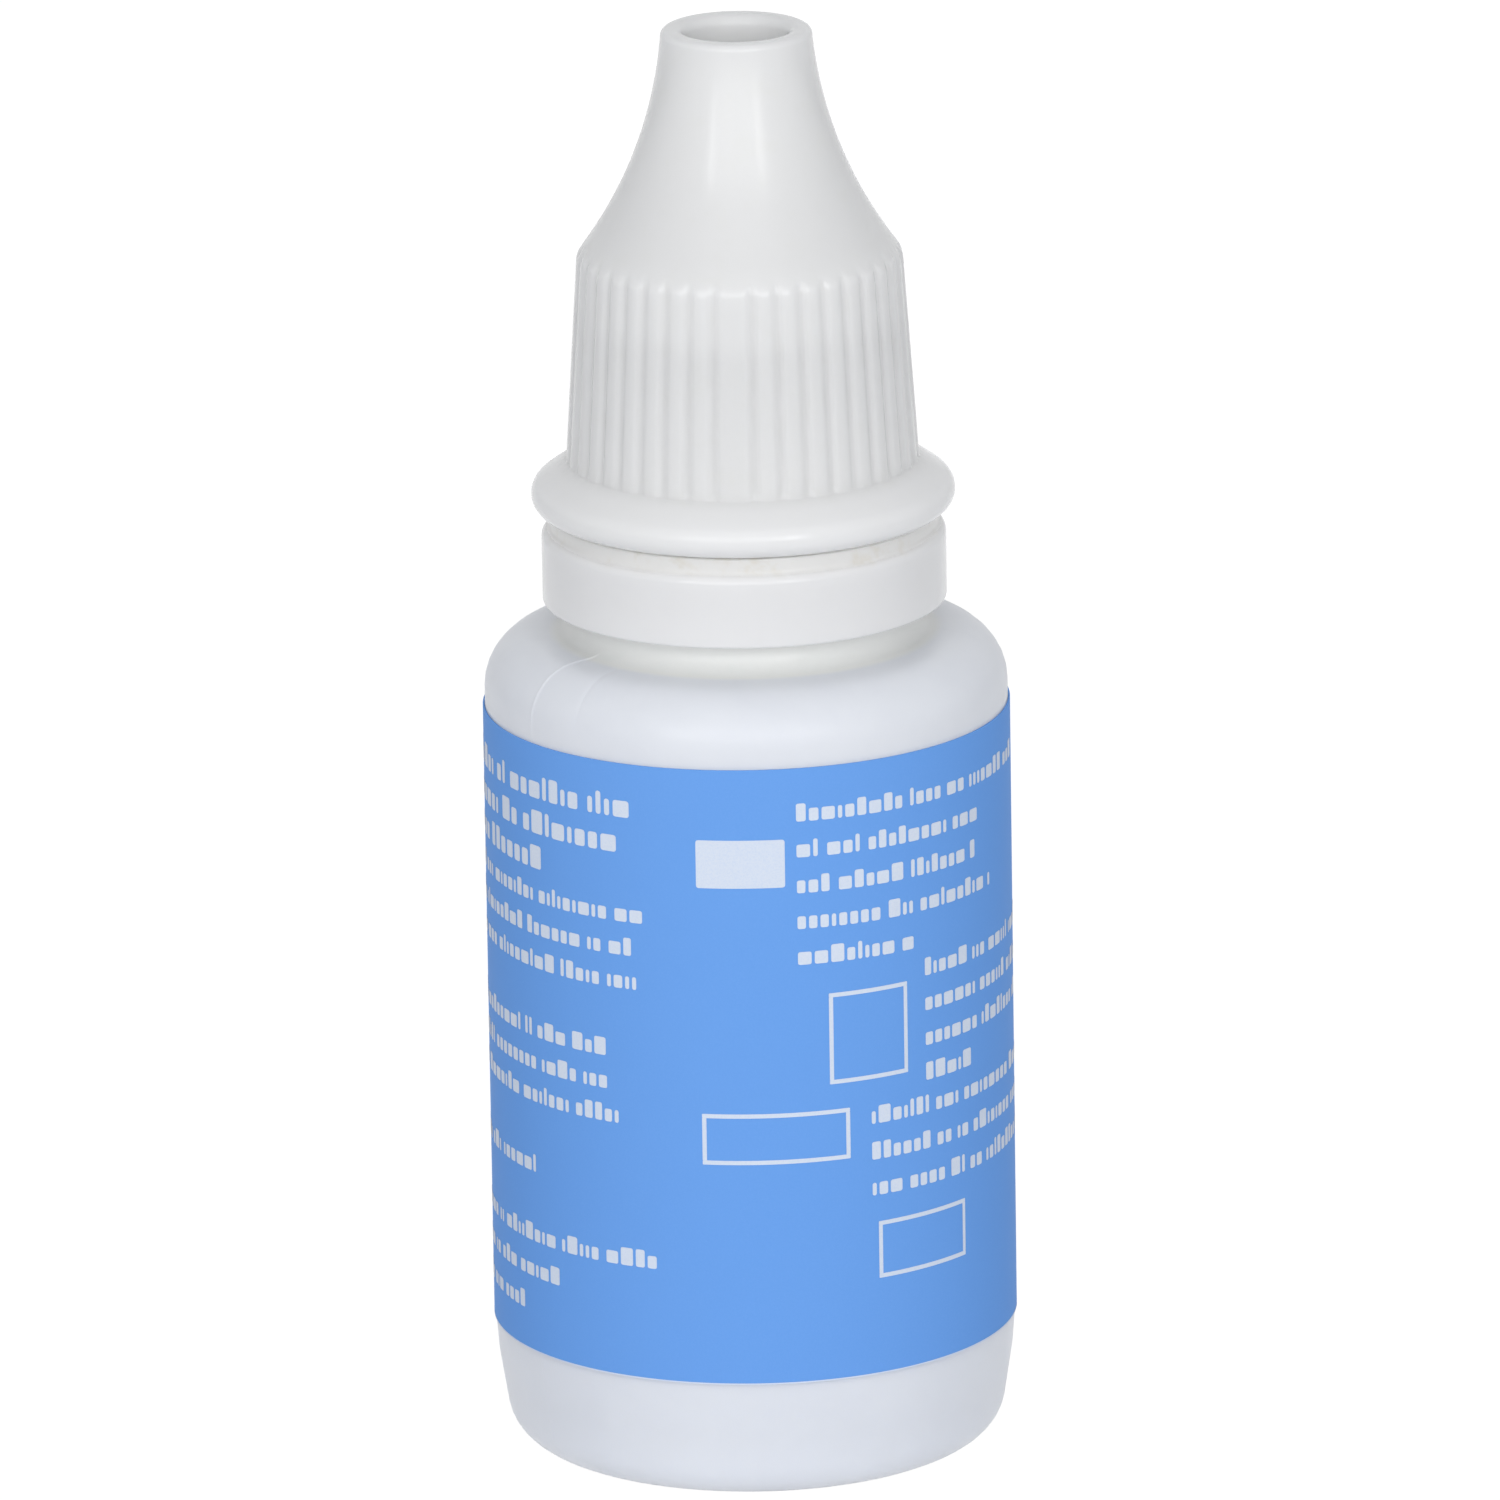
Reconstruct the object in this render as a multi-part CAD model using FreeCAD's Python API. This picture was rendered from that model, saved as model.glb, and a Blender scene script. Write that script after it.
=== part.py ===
import FreeCAD, Part
import math
import os

# A squeeze bottle for eye drops: body, dropper insert, screw cap, tamper band and wrap label.
# Lengths are in millimetres and angles in degrees.
# The origin is the centre of the foot, Z points up, and the front of the bottle faces -Y.

# Body of the bottle
body_radius = 11.93
shoulder_height = 38.3
shoulder_rounding = 2.5
foot_taper_height = 4.8
foot_taper = 0.75
heel_rounding = 2.0
foot_ring_width = 1.1
body_wall = 0.95
base_wall = 1.2
base_rise = 0.9
base_slope_width = 0.25

# Neck of the bottle
collar_radius = 7.75
collar_height = 2.9
collar_rounding = 0.5
bead_reach = 0.4
bead_height = 0.9
bead_ramp_height = 1.0
neck_root_radius = 6.3
neck_height = 13.5
neck_bore_radius = 5.1

# Wrap label
label_foot_margin = 1.04
label_shoulder_margin = 0.92
label_thickness = 0.08
label_glue_gap = 0.02
label_overlap_start = 120
label_overlap_angle = 16

# Tamper band
band_height = 3.35
band_lift = 1.45
band_wall = 0.86
band_gap = 0.2
band_rounding = 0.6
catch_gap = 0.2
web_wall = 0.4
web_height = 0.7
bridge_count = 30
bridge_width = 0.9
bridge_inset = 0.08
bridge_break = 0.05

# Screw cap, outside
thread_depth = 0.5
thread_gap = 0.15
cap_wall = 1.08
cap_break_gap = 0.85
flange_overhang = 0.43
flange_height = 2.35
flange_slope_angle = 35
skirt_height = 9.55
skirt_draft = 0.63
cone_height = 10.5
cone_sag = 0.75
tip_radius = 3.46
tip_rounding = 0.3
tip_wall = 0.6
recess_floor_wall = 1.2

# Grip ribs of the cap, of which one is wider than the rest
rib_count = 40
wide_rib_angle = 13.5
wide_rib_azimuth = 267.25
groove_depth = 0.28
groove_floor_width = 0.2
groove_mouth_width = 0.52
groove_run_out = 0.9

# Screw cap, inside
seat_gap = 0.1
ledge_width = 1.05
cavity_wall = 1.45
nozzle_head_gap = 0.8
pin_gap = 0.1

# Dropper insert
plug_gap = 0.02
plug_ring_depth = 0.22
plug_ring_height = 1.3
plug_ring_chamfer = 0.5
plug_length = 5.5
plug_wall = 0.85
insert_flange_height = 1.0
insert_flange_inset = 0.15
nozzle_height = 6.2
nozzle_base_radius = 3.3
nozzle_tip_radius = 1.75
nozzle_rounding = 0.4
nozzle_bore_radius = 1.1
drop_cup_radius = 1.0
drop_cup_depth = 0.9
orifice_radius = 0.3
orifice_length = 0.8

# How far a cutting body runs past what it cuts
overrun = 0.5

# Round stretches are drawn as this many straight runs, and the smallest roundings as one
heel_runs = 3
shoulder_runs = 4
flange_runs = 3
flare_runs = 3

# Heights above the foot
neck_rim_height = shoulder_height + neck_height
collar_top_height = shoulder_height + collar_height
band_bottom_height = shoulder_height + band_lift
band_top_height = band_bottom_height + band_height
flange_bottom_height = band_top_height + cap_break_gap
skirt_bottom_height = flange_bottom_height + flange_height
crown_height = skirt_bottom_height + skirt_height
cap_top_height = crown_height + cone_height
insert_flange_top = neck_rim_height + insert_flange_height
ledge_height = insert_flange_top + seat_gap
nozzle_top_height = insert_flange_top + nozzle_height
ceiling_height = nozzle_top_height + nozzle_head_gap

# Radii that follow from a fit
bead_radius = collar_radius + bead_reach
band_bore_radius = bead_radius + band_gap
band_radius = band_bore_radius + band_wall
cap_bore_radius = neck_root_radius + thread_depth + thread_gap
skirt_radius = cap_bore_radius + cap_wall
crown_radius = skirt_radius - skirt_draft
flange_radius = band_radius + flange_overhang
plug_ring_radius = neck_bore_radius - plug_gap

# The shoulder's rounding, limited by the flat that lies between the body and the collar
fitted_shoulder_rounding = min(shoulder_rounding, body_radius - collar_radius - collar_rounding)

up = FreeCAD.Vector(0, 0, 1)
origin = FreeCAD.Vector(0, 0, 0)


def arc_points(centre, start, end, runs):
    """Points that divide the arc from start to end into equal runs."""
    arm = start - centre
    axis = arm.cross(end - centre)
    turn = math.degrees(arm.getAngle(end - centre))
    points = []
    for number in range(runs + 1):
        rotation = FreeCAD.Rotation(axis, turn * number / runs)
        points.append(centre + rotation.multVec(arm))
    return points


def bow_centre(start, end, sag):
    """Centre of the arc that swings out to the left of its chord by the sag."""
    chord = end - start
    left = FreeCAD.Vector(-chord.z, 0, chord.x).normalize()
    bend_radius = chord.Length**2 / (8 * sag) + sag / 2
    return (start + end) / 2 + left * (sag - bend_radius)


def fillet_points(before, corner, after, rounding, runs):
    """Points of the arc that rounds a corner between two straight lines."""
    back = (before - corner).normalize()
    onward = (after - corner).normalize()
    half_angle = back.getAngle(onward) / 2
    reach = rounding / math.tan(half_angle)
    centre = corner + (back + onward).normalize() * (rounding / math.sin(half_angle))
    return arc_points(centre, corner + back * reach, corner + onward * reach, runs)


class Outline:
    """A half section, drawn corner by corner in radius and height, that is turned about the axis."""

    def __init__(self):
        self.corners = []
        self.fillets = []

    def line(self, radius, height, rounding=0, runs=1):
        """Run straight to a corner, which may be rounded."""
        self.corners.append(FreeCAD.Vector(radius, 0, height))
        self.fillets.append((rounding, runs))

    def lines(self, *places):
        """Run straight to several sharp corners."""
        for radius, height in places:
            self.line(radius, height)

    def bow(self, radius, height, sag, runs, rounding):
        """Run to a rounded corner on an arc that swings out to the left of its chord by the sag."""
        start = self.corners[-1]
        end = FreeCAD.Vector(radius, 0, height)
        for point in arc_points(bow_centre(start, end, sag), start, end, runs)[1:-1]:
            self.line(point.x, point.z)
        self.line(radius, height, rounding)

    def turned(self):
        """Round the corners, close the section and sweep it once round the axis."""
        points = []
        for number, corner in enumerate(self.corners):
            before = self.corners[number - 1]
            after = self.corners[(number + 1) % len(self.corners)]
            rounding, runs = self.fillets[number]
            if rounding:
                points.extend(fillet_points(before, corner, after, rounding, runs))
            else:
                points.append(corner)
        section = Part.Face(Part.makePolygon(points + points[:1]))
        return section.revolve(origin, up, 360)


def around(solid, count, start_angle, pitch_angle):
    """Copies of the solid, set one pitch apart about the axis from the start angle on."""
    copies = []
    for number in range(count):
        copy = solid.copy()
        copy.rotate(origin, up, start_angle + pitch_angle * number)
        copies.append(copy)
    return copies


def make_bottle():
    """The hollow moulding: recessed base, tapered foot, body, shoulder, collar, tamper bead and neck."""
    foot_radius = body_radius - foot_taper
    recess_radius = foot_radius - heel_rounding - foot_ring_width
    floor_height = base_rise + base_wall
    bead_top_height = collar_top_height + bead_height
    ramp_top_height = bead_top_height + bead_ramp_height
    inner_radius = body_radius - body_wall
    inner_shoulder_height = shoulder_height - body_wall
    inner_shoulder_rounding = fitted_shoulder_rounding - body_wall
    inner_heel_rounding = heel_rounding - body_wall

    section = Outline()
    section.lines((0, floor_height), (0, base_rise))
    section.lines((recess_radius - base_slope_width, base_rise), (recess_radius, 0))
    section.line(foot_radius, 0, heel_rounding, heel_runs)
    section.line(body_radius, foot_taper_height)
    section.line(body_radius, shoulder_height, fitted_shoulder_rounding, shoulder_runs)
    section.line(collar_radius, shoulder_height, collar_rounding)
    section.lines((collar_radius, collar_top_height), (bead_radius, collar_top_height))
    section.lines((bead_radius, bead_top_height), (neck_root_radius, ramp_top_height))
    section.lines((neck_root_radius, neck_rim_height), (neck_bore_radius, neck_rim_height))
    section.line(neck_bore_radius, inner_shoulder_height)
    section.line(inner_radius, inner_shoulder_height, inner_shoulder_rounding)
    section.line(inner_radius, floor_height, inner_heel_rounding)
    return section.turned()


def make_label():
    """The wrap label: one layer all round, and a second where its end laps over its start."""
    inner_radius = body_radius + label_glue_gap
    outer_radius = inner_radius + label_thickness
    label_bottom_height = foot_taper_height + label_foot_margin
    label_top_height = shoulder_height - fitted_shoulder_rounding - label_shoulder_margin
    label_height = label_top_height - label_bottom_height
    foot = FreeCAD.Vector(0, 0, label_bottom_height)
    label = Part.makeCylinder(outer_radius, label_height, foot)
    label = label.cut(Part.makeCylinder(inner_radius, label_height, foot))
    lap = Part.makeCylinder(outer_radius + label_thickness, label_height, foot, up, label_overlap_angle)
    lap = lap.cut(Part.makeCylinder(outer_radius, label_height, foot))
    lap.rotate(origin, up, label_overlap_start)
    return label.fuse(lap).removeSplitter()


def make_tamper_band():
    """The ring that stays on the neck: wall, catch under the neck's bead, web and break bridges."""
    catch_radius = collar_radius + catch_gap
    catch_top_height = collar_top_height - catch_gap
    web_radius = band_bore_radius + web_wall
    web_top_height = band_top_height + web_height
    section = Outline()
    section.line(band_radius, band_bottom_height)
    section.line(band_radius, band_top_height, band_rounding)
    section.lines((web_radius, band_top_height), (web_radius, web_top_height))
    section.lines((band_bore_radius, web_top_height), (band_bore_radius, catch_top_height))
    section.lines((catch_radius, catch_top_height), (band_bore_radius, band_bottom_height))
    band = section.turned()

    bridge_height = cap_break_gap - web_height - bridge_break
    bridge_depth = web_wall - 2 * bridge_inset
    corner = FreeCAD.Vector(band_bore_radius + bridge_inset, -bridge_width / 2, web_top_height)
    bridge = Part.makeBox(bridge_depth, bridge_width, bridge_height, corner)
    return band.fuse(around(bridge, bridge_count, 0, 360 / bridge_count)).removeSplitter()


def rib_groove():
    """The body cut away between two ribs: a tapered slot that leans in with the skirt's draft."""
    groove_bottom = skirt_bottom_height
    groove_top = crown_height + groove_run_out
    lean_share = skirt_draft / skirt_height
    mouth_widening = (groove_mouth_width - groove_floor_width) * overrun / groove_depth / 2
    half_floor = groove_floor_width / 2
    half_mouth = groove_mouth_width / 2 + mouth_widening
    ends = []
    for height in (groove_bottom, groove_top):
        surface = skirt_radius - (height - skirt_bottom_height) * lean_share
        floor = surface - groove_depth
        mouth = surface + overrun
        corners = [
            FreeCAD.Vector(floor, -half_floor, height),
            FreeCAD.Vector(mouth, -half_mouth, height),
            FreeCAD.Vector(mouth, half_mouth, height),
            FreeCAD.Vector(floor, half_floor, height),
        ]
        ends.append(Part.makePolygon(corners + corners[:1]))
    return Part.makeLoft(ends, True, True)


def make_screw_cap():
    """The cap: flange, ribbed skirt and flared cone outside; bore, ledge, cavity and pin inside."""
    slope = math.radians(flange_slope_angle)
    flange_corner_radius = skirt_radius + flange_height / math.tan(slope)
    flange_rounding = (flange_corner_radius - flange_radius) / (1 / math.tan(slope / 2) - 1)
    recess_radius = tip_radius - tip_wall
    recess_floor_height = ceiling_height + recess_floor_wall

    crown = FreeCAD.Vector(crown_radius, 0, crown_height)
    flare_centre = bow_centre(crown, FreeCAD.Vector(tip_radius, 0, cap_top_height), cone_sag)
    flare_bend_radius = (crown - flare_centre).Length
    ceiling_rise = ceiling_height - flare_centre.z
    ceiling_outside = flare_centre.x - math.sqrt(flare_bend_radius**2 - ceiling_rise**2)
    ceiling_radius = ceiling_outside - cavity_wall
    cavity_radius = cap_bore_radius - ledge_width
    pin_end_radius = orifice_radius / 2
    pin_end_height = nozzle_top_height - drop_cup_depth + pin_gap
    cup_flare_share = (drop_cup_radius - orifice_radius) / drop_cup_depth
    pin_radius = pin_end_radius + (ceiling_height - pin_end_height) * cup_flare_share

    section = Outline()
    section.line(cap_bore_radius, flange_bottom_height)
    section.line(flange_corner_radius, flange_bottom_height, flange_rounding, flange_runs)
    section.line(skirt_radius, skirt_bottom_height)
    section.line(crown_radius, crown_height)
    section.bow(tip_radius, cap_top_height, cone_sag, flare_runs, tip_rounding)
    section.lines((recess_radius, cap_top_height), (recess_radius, recess_floor_height))
    section.lines((0, recess_floor_height), (0, pin_end_height))
    section.lines((pin_end_radius, pin_end_height), (pin_radius, ceiling_height))
    section.lines((ceiling_radius, ceiling_height), (cavity_radius, crown_height))
    section.lines((cavity_radius, ledge_height), (cap_bore_radius, ledge_height))
    groove_pitch = (360 - wide_rib_angle) / (rib_count - 1)
    first_groove = wide_rib_azimuth + wide_rib_angle / 2
    return section.turned().cut(around(rib_groove(), rib_count, first_groove, groove_pitch))


def make_dropper_insert():
    """The plug with its sealing ring, the flange on the neck's rim, and the nozzle with its drop cup."""
    plug_radius = plug_ring_radius - plug_ring_depth
    plug_bottom_height = neck_rim_height - plug_length
    plug_bore_radius = plug_radius - plug_wall
    ring_bottom_height = neck_rim_height - plug_ring_height
    flange_edge_radius = neck_root_radius - insert_flange_inset
    cup_floor_height = nozzle_top_height - drop_cup_depth
    bore_top_height = cup_floor_height - orifice_length

    section = Outline()
    section.lines((plug_bore_radius, plug_bottom_height), (plug_radius, plug_bottom_height))
    section.line(plug_radius, ring_bottom_height - plug_ring_chamfer)
    section.lines((plug_ring_radius, ring_bottom_height), (plug_ring_radius, neck_rim_height))
    section.lines((flange_edge_radius, neck_rim_height), (flange_edge_radius, insert_flange_top))
    section.line(nozzle_base_radius, insert_flange_top)
    section.line(nozzle_tip_radius, nozzle_top_height, nozzle_rounding)
    section.line(drop_cup_radius, nozzle_top_height)
    section.lines((orifice_radius, cup_floor_height), (orifice_radius, bore_top_height))
    section.lines((nozzle_bore_radius, bore_top_height), (nozzle_bore_radius, neck_rim_height))
    section.line(plug_bore_radius, neck_rim_height)
    return section.turned()


pieces = {
    "bottle": make_bottle,
    "label": make_label,
    "tamper_band": make_tamper_band,
    "screw_cap": make_screw_cap,
    "dropper_insert": make_dropper_insert,
}

os.makedirs("parts", exist_ok=True)
for name, make in pieces.items():
    shape = make()
    shape.exportStep(f"parts/{name}.step")
    state = "valid" if shape.isValid() else "NOT VALID"
    print(name, state, len(shape.Solids), "solid", round(shape.Volume, 2), "cubic mm")
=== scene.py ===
"""A squeeze bottle for drops: its dropper insert, ribbed screw cap, tamper band and wrap label."""

import logging
import math
import random
from collections.abc import Callable, Sequence
from dataclasses import dataclass, field
from enum import Enum

import bmesh
import bpy
from mathutils import Matrix, Vector


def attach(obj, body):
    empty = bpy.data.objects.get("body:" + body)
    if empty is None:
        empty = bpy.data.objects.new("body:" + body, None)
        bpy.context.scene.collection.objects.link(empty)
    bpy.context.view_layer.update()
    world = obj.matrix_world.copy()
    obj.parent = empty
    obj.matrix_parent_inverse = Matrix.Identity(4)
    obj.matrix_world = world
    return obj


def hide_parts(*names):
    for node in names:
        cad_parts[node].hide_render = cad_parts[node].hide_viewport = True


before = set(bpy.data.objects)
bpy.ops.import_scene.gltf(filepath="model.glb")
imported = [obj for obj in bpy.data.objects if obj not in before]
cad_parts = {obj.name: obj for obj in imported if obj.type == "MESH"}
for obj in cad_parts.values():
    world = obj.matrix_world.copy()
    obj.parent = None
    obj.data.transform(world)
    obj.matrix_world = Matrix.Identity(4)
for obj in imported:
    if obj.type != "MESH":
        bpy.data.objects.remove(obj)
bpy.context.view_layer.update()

log = logging.getLogger("bottle")

MM = 0.001
# The largest turn between two points of a rounding, in degrees
ROUNDING_STEP = 11.0
# The least turn between an even angle round the axis and an extra one, in degrees
LEAST_TURN = 0.15
Colour = tuple[float, float, float]
Shift = Callable[[float, float, float], tuple[float, float]]
Patch = tuple[float, float, float, float, float]


class Body(Enum):
    """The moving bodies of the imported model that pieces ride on."""

    BOTTLE = "bottle"
    BAND = "band"
    CAP = "cap"


class Slot(Enum):
    """The record's material slots."""

    BOTTLE = "bottle"
    LABEL = "label"
    BAND = "tamper_band"
    CAP = "screw_cap"
    INSERT = "dropper_insert"


class Value:
    """A number that varies over a surface, on which Python's operators add Math nodes."""

    def __init__(self, desk: "NodeDesk", socket: bpy.types.NodeSocket) -> None:
        """Wrap a node's output.

        Args:
            desk: The node tree's builder.
            socket: The output that carries the number.
        """
        self.desk = desk
        self.socket = socket

    def _math(self, operation: str, *operands: "Value | float") -> "Value":
        """Add a Math node and return its result."""
        return self.desk.value("ShaderNodeMath", {"operation": operation}, dict(enumerate(operands)))

    def __add__(self, other: "Value | float") -> "Value":
        """Return the sum."""
        return self._math("ADD", self, other)

    __radd__ = __add__

    def __sub__(self, other: "Value | float") -> "Value":
        """Return the difference."""
        return self._math("SUBTRACT", self, other)

    def __rsub__(self, other: float) -> "Value":
        """Return a number less this value."""
        return self._math("SUBTRACT", other, self)

    def __mul__(self, other: "Value | float") -> "Value":
        """Return the product."""
        return self._math("MULTIPLY", self, other)

    __rmul__ = __mul__

    def between(self, low: float, high: float) -> "Value":
        """Return 0 below the low mark, 1 above the high mark and a smooth rise between.

        Args:
            low: Where the rise starts.
            high: Where the rise ends.

        Returns:
            The smoothed share of the way from low to high.
        """
        settings = {"interpolation_type": "SMOOTHSTEP"}
        inputs = {"Value": self, "From Min": low, "From Max": high}
        return self.desk.value("ShaderNodeMapRange", settings, inputs)


class NodeDesk:
    """Builds the nodes of one material or of the world."""

    def __init__(self, tree: bpy.types.NodeTree) -> None:
        """Start with an empty tree.

        Args:
            tree: The node tree to fill.
        """
        self.tree = tree
        tree.nodes.clear()

    def node(self, kind: str, settings: dict | None = None, inputs: dict | None = None) -> bpy.types.Node:
        """Add a node.

        Args:
            kind: The node's type.
            settings: Properties, which are set before the sockets.
            inputs: Socket names or numbers with a value, a socket or a Value each.

        Returns:
            The new node.
        """
        node = self.tree.nodes.new(kind)
        for name, setting in (settings or {}).items():
            setattr(node, name, setting)
        for name, given in (inputs or {}).items():
            self.feed(node.inputs[name], given)
        return node

    def value(
        self, kind: str, settings: dict | None = None, inputs: dict | None = None, output: str | int = 0
    ) -> Value:
        """Add a node and wrap one of its outputs.

        Args:
            kind: The node's type.
            settings: Properties, which are set before the sockets.
            inputs: Socket names or numbers with a value, a socket or a Value each.
            output: The output's name or number.

        Returns:
            The output as a Value.
        """
        return Value(self, self.node(kind, settings, inputs).outputs[output])

    def feed(self, socket: bpy.types.NodeSocket, given: object) -> None:
        """Link an output to a socket, or write a constant on it.

        Args:
            socket: The input.
            given: A Value, an output socket or a constant.
        """
        if isinstance(given, Value):
            given = given.socket
        if isinstance(given, bpy.types.NodeSocket):
            self.tree.links.new(given, socket)
        elif isinstance(given, tuple) and len(given) == 3 and socket.type == "RGBA":
            socket.default_value = (*given, 1.0)
        else:
            socket.default_value = given

    def noise(
        self, size_mm: float, detail: float = 2.0, roughness: float = 0.5, distortion: float = 0.0
    ) -> Value:
        """Add smooth noise on the object's own coordinates.

        Args:
            size_mm: The size of its features.
            detail: The number of finer layers.
            roughness: How strong the finer layers are.
            distortion: How much it is warped.

        Returns:
            Noise about 0.5.
        """
        place = self.node("ShaderNodeTexCoord").outputs["Object"]
        inputs = {"Vector": place, "Scale": 1 / (size_mm * MM), "Detail": detail}
        inputs |= {"Roughness": roughness, "Distortion": distortion}
        return self.value("ShaderNodeTexNoise", {"noise_dimensions": "3D"}, inputs, "Fac")

    def axis_distance(self) -> Value:
        """Return the distance from the bottle's axis, in metres."""
        place = self.node("ShaderNodeTexCoord").outputs["Object"]
        level = self.node("ShaderNodeVectorMath", {"operation": "MULTIPLY"}, {0: place, 1: (1.0, 1.0, 0.0)})
        return self.value("ShaderNodeVectorMath", {"operation": "LENGTH"}, {0: level.outputs[0]}, "Value")

    def mix(self, share: Value | float, first: object, second: object) -> bpy.types.NodeSocket:
        """Mix two colours.

        Args:
            share: 0 gives the first colour and 1 the second.
            first: A colour or a socket.
            second: A colour or a socket.

        Returns:
            The mixed colour's socket.
        """
        settings = {"data_type": "RGBA", "clamp_factor": True}
        return self.node("ShaderNodeMix", settings, {0: share, 6: first, 7: second}).outputs[2]

    def bump(
        self, height: Value, depth_mm: float, under: bpy.types.NodeSocket | None = None
    ) -> bpy.types.NodeSocket:
        """Turn a height into a normal.

        Args:
            height: The height, from 0 to 1.
            depth_mm: How deep a height of 1 is.
            under: The normal that it lies on.

        Returns:
            The normal's socket.
        """
        inputs = {"Height": height, "Distance": depth_mm * MM}
        if under is not None:
            inputs["Normal"] = under
        return self.node("ShaderNodeBump", None, inputs).outputs["Normal"]


def new_material(name: str) -> tuple[bpy.types.Material, NodeDesk]:
    """Make a material with an empty node tree.

    Args:
        name: The material's name.

    Returns:
        The material and the builder of its nodes.
    """
    material = bpy.data.materials.new(name)
    material.use_nodes = True
    return material, NodeDesk(material.node_tree)


@dataclass(frozen=True)
class MouldedPlastic:
    """Moulded plastic: cloudy colour, another tone near the axis with blotches in it, fine spark texture and
    broad waves; on the bottle and the band the lighter tone near the axis is painted light in shaded places.
    """

    name: str
    colour: Colour
    cloud_colour: Colour
    roughness: float
    roughness_swing: float = 0.06
    cloud_mm: float = 5.0
    fleck_share: float = 0.15
    grain_mm: float = 0.12
    grain_depth_mm: float = 0.0015
    ripple_mm: float = 3.0
    ripple_depth_mm: float = 0.02
    specular: float = 0.4
    softness: float = 0.6
    softness_mm: float = 1.8
    core_mm: float = 0.0
    core_colour: Colour = (0.8, 0.8, 0.8)
    core_blotch_colour: Colour = (0.8, 0.8, 0.8)
    core_dullness: float = 0.0
    core_blend_mm: float = 0.3
    blotch_mm: float = 1.3
    blotch_share: float = 0.6

    def material(self) -> bpy.types.Material:
        """Build the finish.

        Returns:
            The material.
        """
        material, desk = new_material(self.name)
        cloud = desk.noise(self.cloud_mm, 3.0, 0.55, 0.4).between(0.3, 0.72)
        grain = desk.noise(self.grain_mm, 3.0, 0.65)
        ripple = desk.noise(self.ripple_mm, 2.0, 0.5)
        fleck = grain.between(0.62, 0.8)
        share = cloud * (1 - self.fleck_share) + fleck * self.fleck_share
        colour = desk.mix(share, self.colour, self.cloud_colour)
        roughness = self.roughness + (grain - 0.5) * self.roughness_swing
        roughness = roughness + (cloud - 0.5) * self.roughness_swing
        # The tone near the axis, with noise blotches of a second colour in it; on the bottle and the band it
        # is lighter than the rest, as painted light in the shade under the band and in the web's recess.
        if self.core_mm:
            low, high = self.core_mm - self.core_blend_mm, self.core_mm + self.core_blend_mm
            outside = desk.axis_distance().between(low * MM, high * MM)
            blotch = desk.noise(self.blotch_mm, 3.0, 0.6, 0.3).between(0.5, 0.75) * self.blotch_share
            colour = desk.mix(outside, desk.mix(blotch, self.core_colour, self.core_blotch_colour), colour)
            roughness = roughness + self.core_dullness * (1 - outside)
        normal = desk.bump(grain, self.grain_depth_mm, desk.bump(ripple, self.ripple_depth_mm))
        inputs = {
            "Base Color": colour,
            "Roughness": roughness,
            "Normal": normal,
            "IOR": 1.5,
            "Specular IOR Level": self.specular,
            "Subsurface Weight": self.softness,
            "Subsurface Radius": (1.0, 1.0, 1.0),
            "Subsurface Scale": self.softness_mm * MM,
        }
        shader = desk.node("ShaderNodeBsdfPrincipled", None, inputs)
        desk.node("ShaderNodeOutputMaterial", None, {"Surface": shader.outputs[0]})
        return material


@dataclass(frozen=True)
class PrintedFilm:
    """Printed label film or the ink on it: flat colour, a fine screen, a few pinholes and satin varnish."""

    name: str
    colour: Colour
    pale_colour: Colour
    roughness: float
    screen_mm: float = 0.09
    screen_depth_mm: float = 0.0015
    screen_share: float = 0.35
    cloud_mm: float = 3.5
    cloud_share: float = 0.25
    pinhole_share: float = 0.4
    ripple_mm: float = 2.2
    ripple_depth_mm: float = 0.012
    specular: float = 0.02

    def material(self) -> bpy.types.Material:
        """Build the finish.

        Returns:
            The material.
        """
        material, desk = new_material(self.name)
        screen = desk.noise(self.screen_mm, 2.0, 0.7)
        cloud = desk.noise(self.cloud_mm, 3.0, 0.6)
        ripple = desk.noise(self.ripple_mm, 2.0, 0.5, 0.6)
        pinhole = screen.between(0.7, 0.8)
        share = screen.between(0.35, 0.75) * self.screen_share + cloud * self.cloud_share
        colour = desk.mix(share + pinhole * self.pinhole_share, self.colour, self.pale_colour)
        roughness = self.roughness + (screen - 0.5) * 0.1 + (cloud - 0.5) * 0.08
        normal = desk.bump(screen, self.screen_depth_mm, desk.bump(ripple, self.ripple_depth_mm))
        inputs = {
            "Base Color": colour,
            "Roughness": roughness,
            "Normal": normal,
            "IOR": 1.5,
            "Specular IOR Level": self.specular,
        }
        shader = desk.node("ShaderNodeBsdfPrincipled", None, inputs)
        desk.node("ShaderNodeOutputMaterial", None, {"Surface": shader.outputs[0]})
        return material


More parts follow.
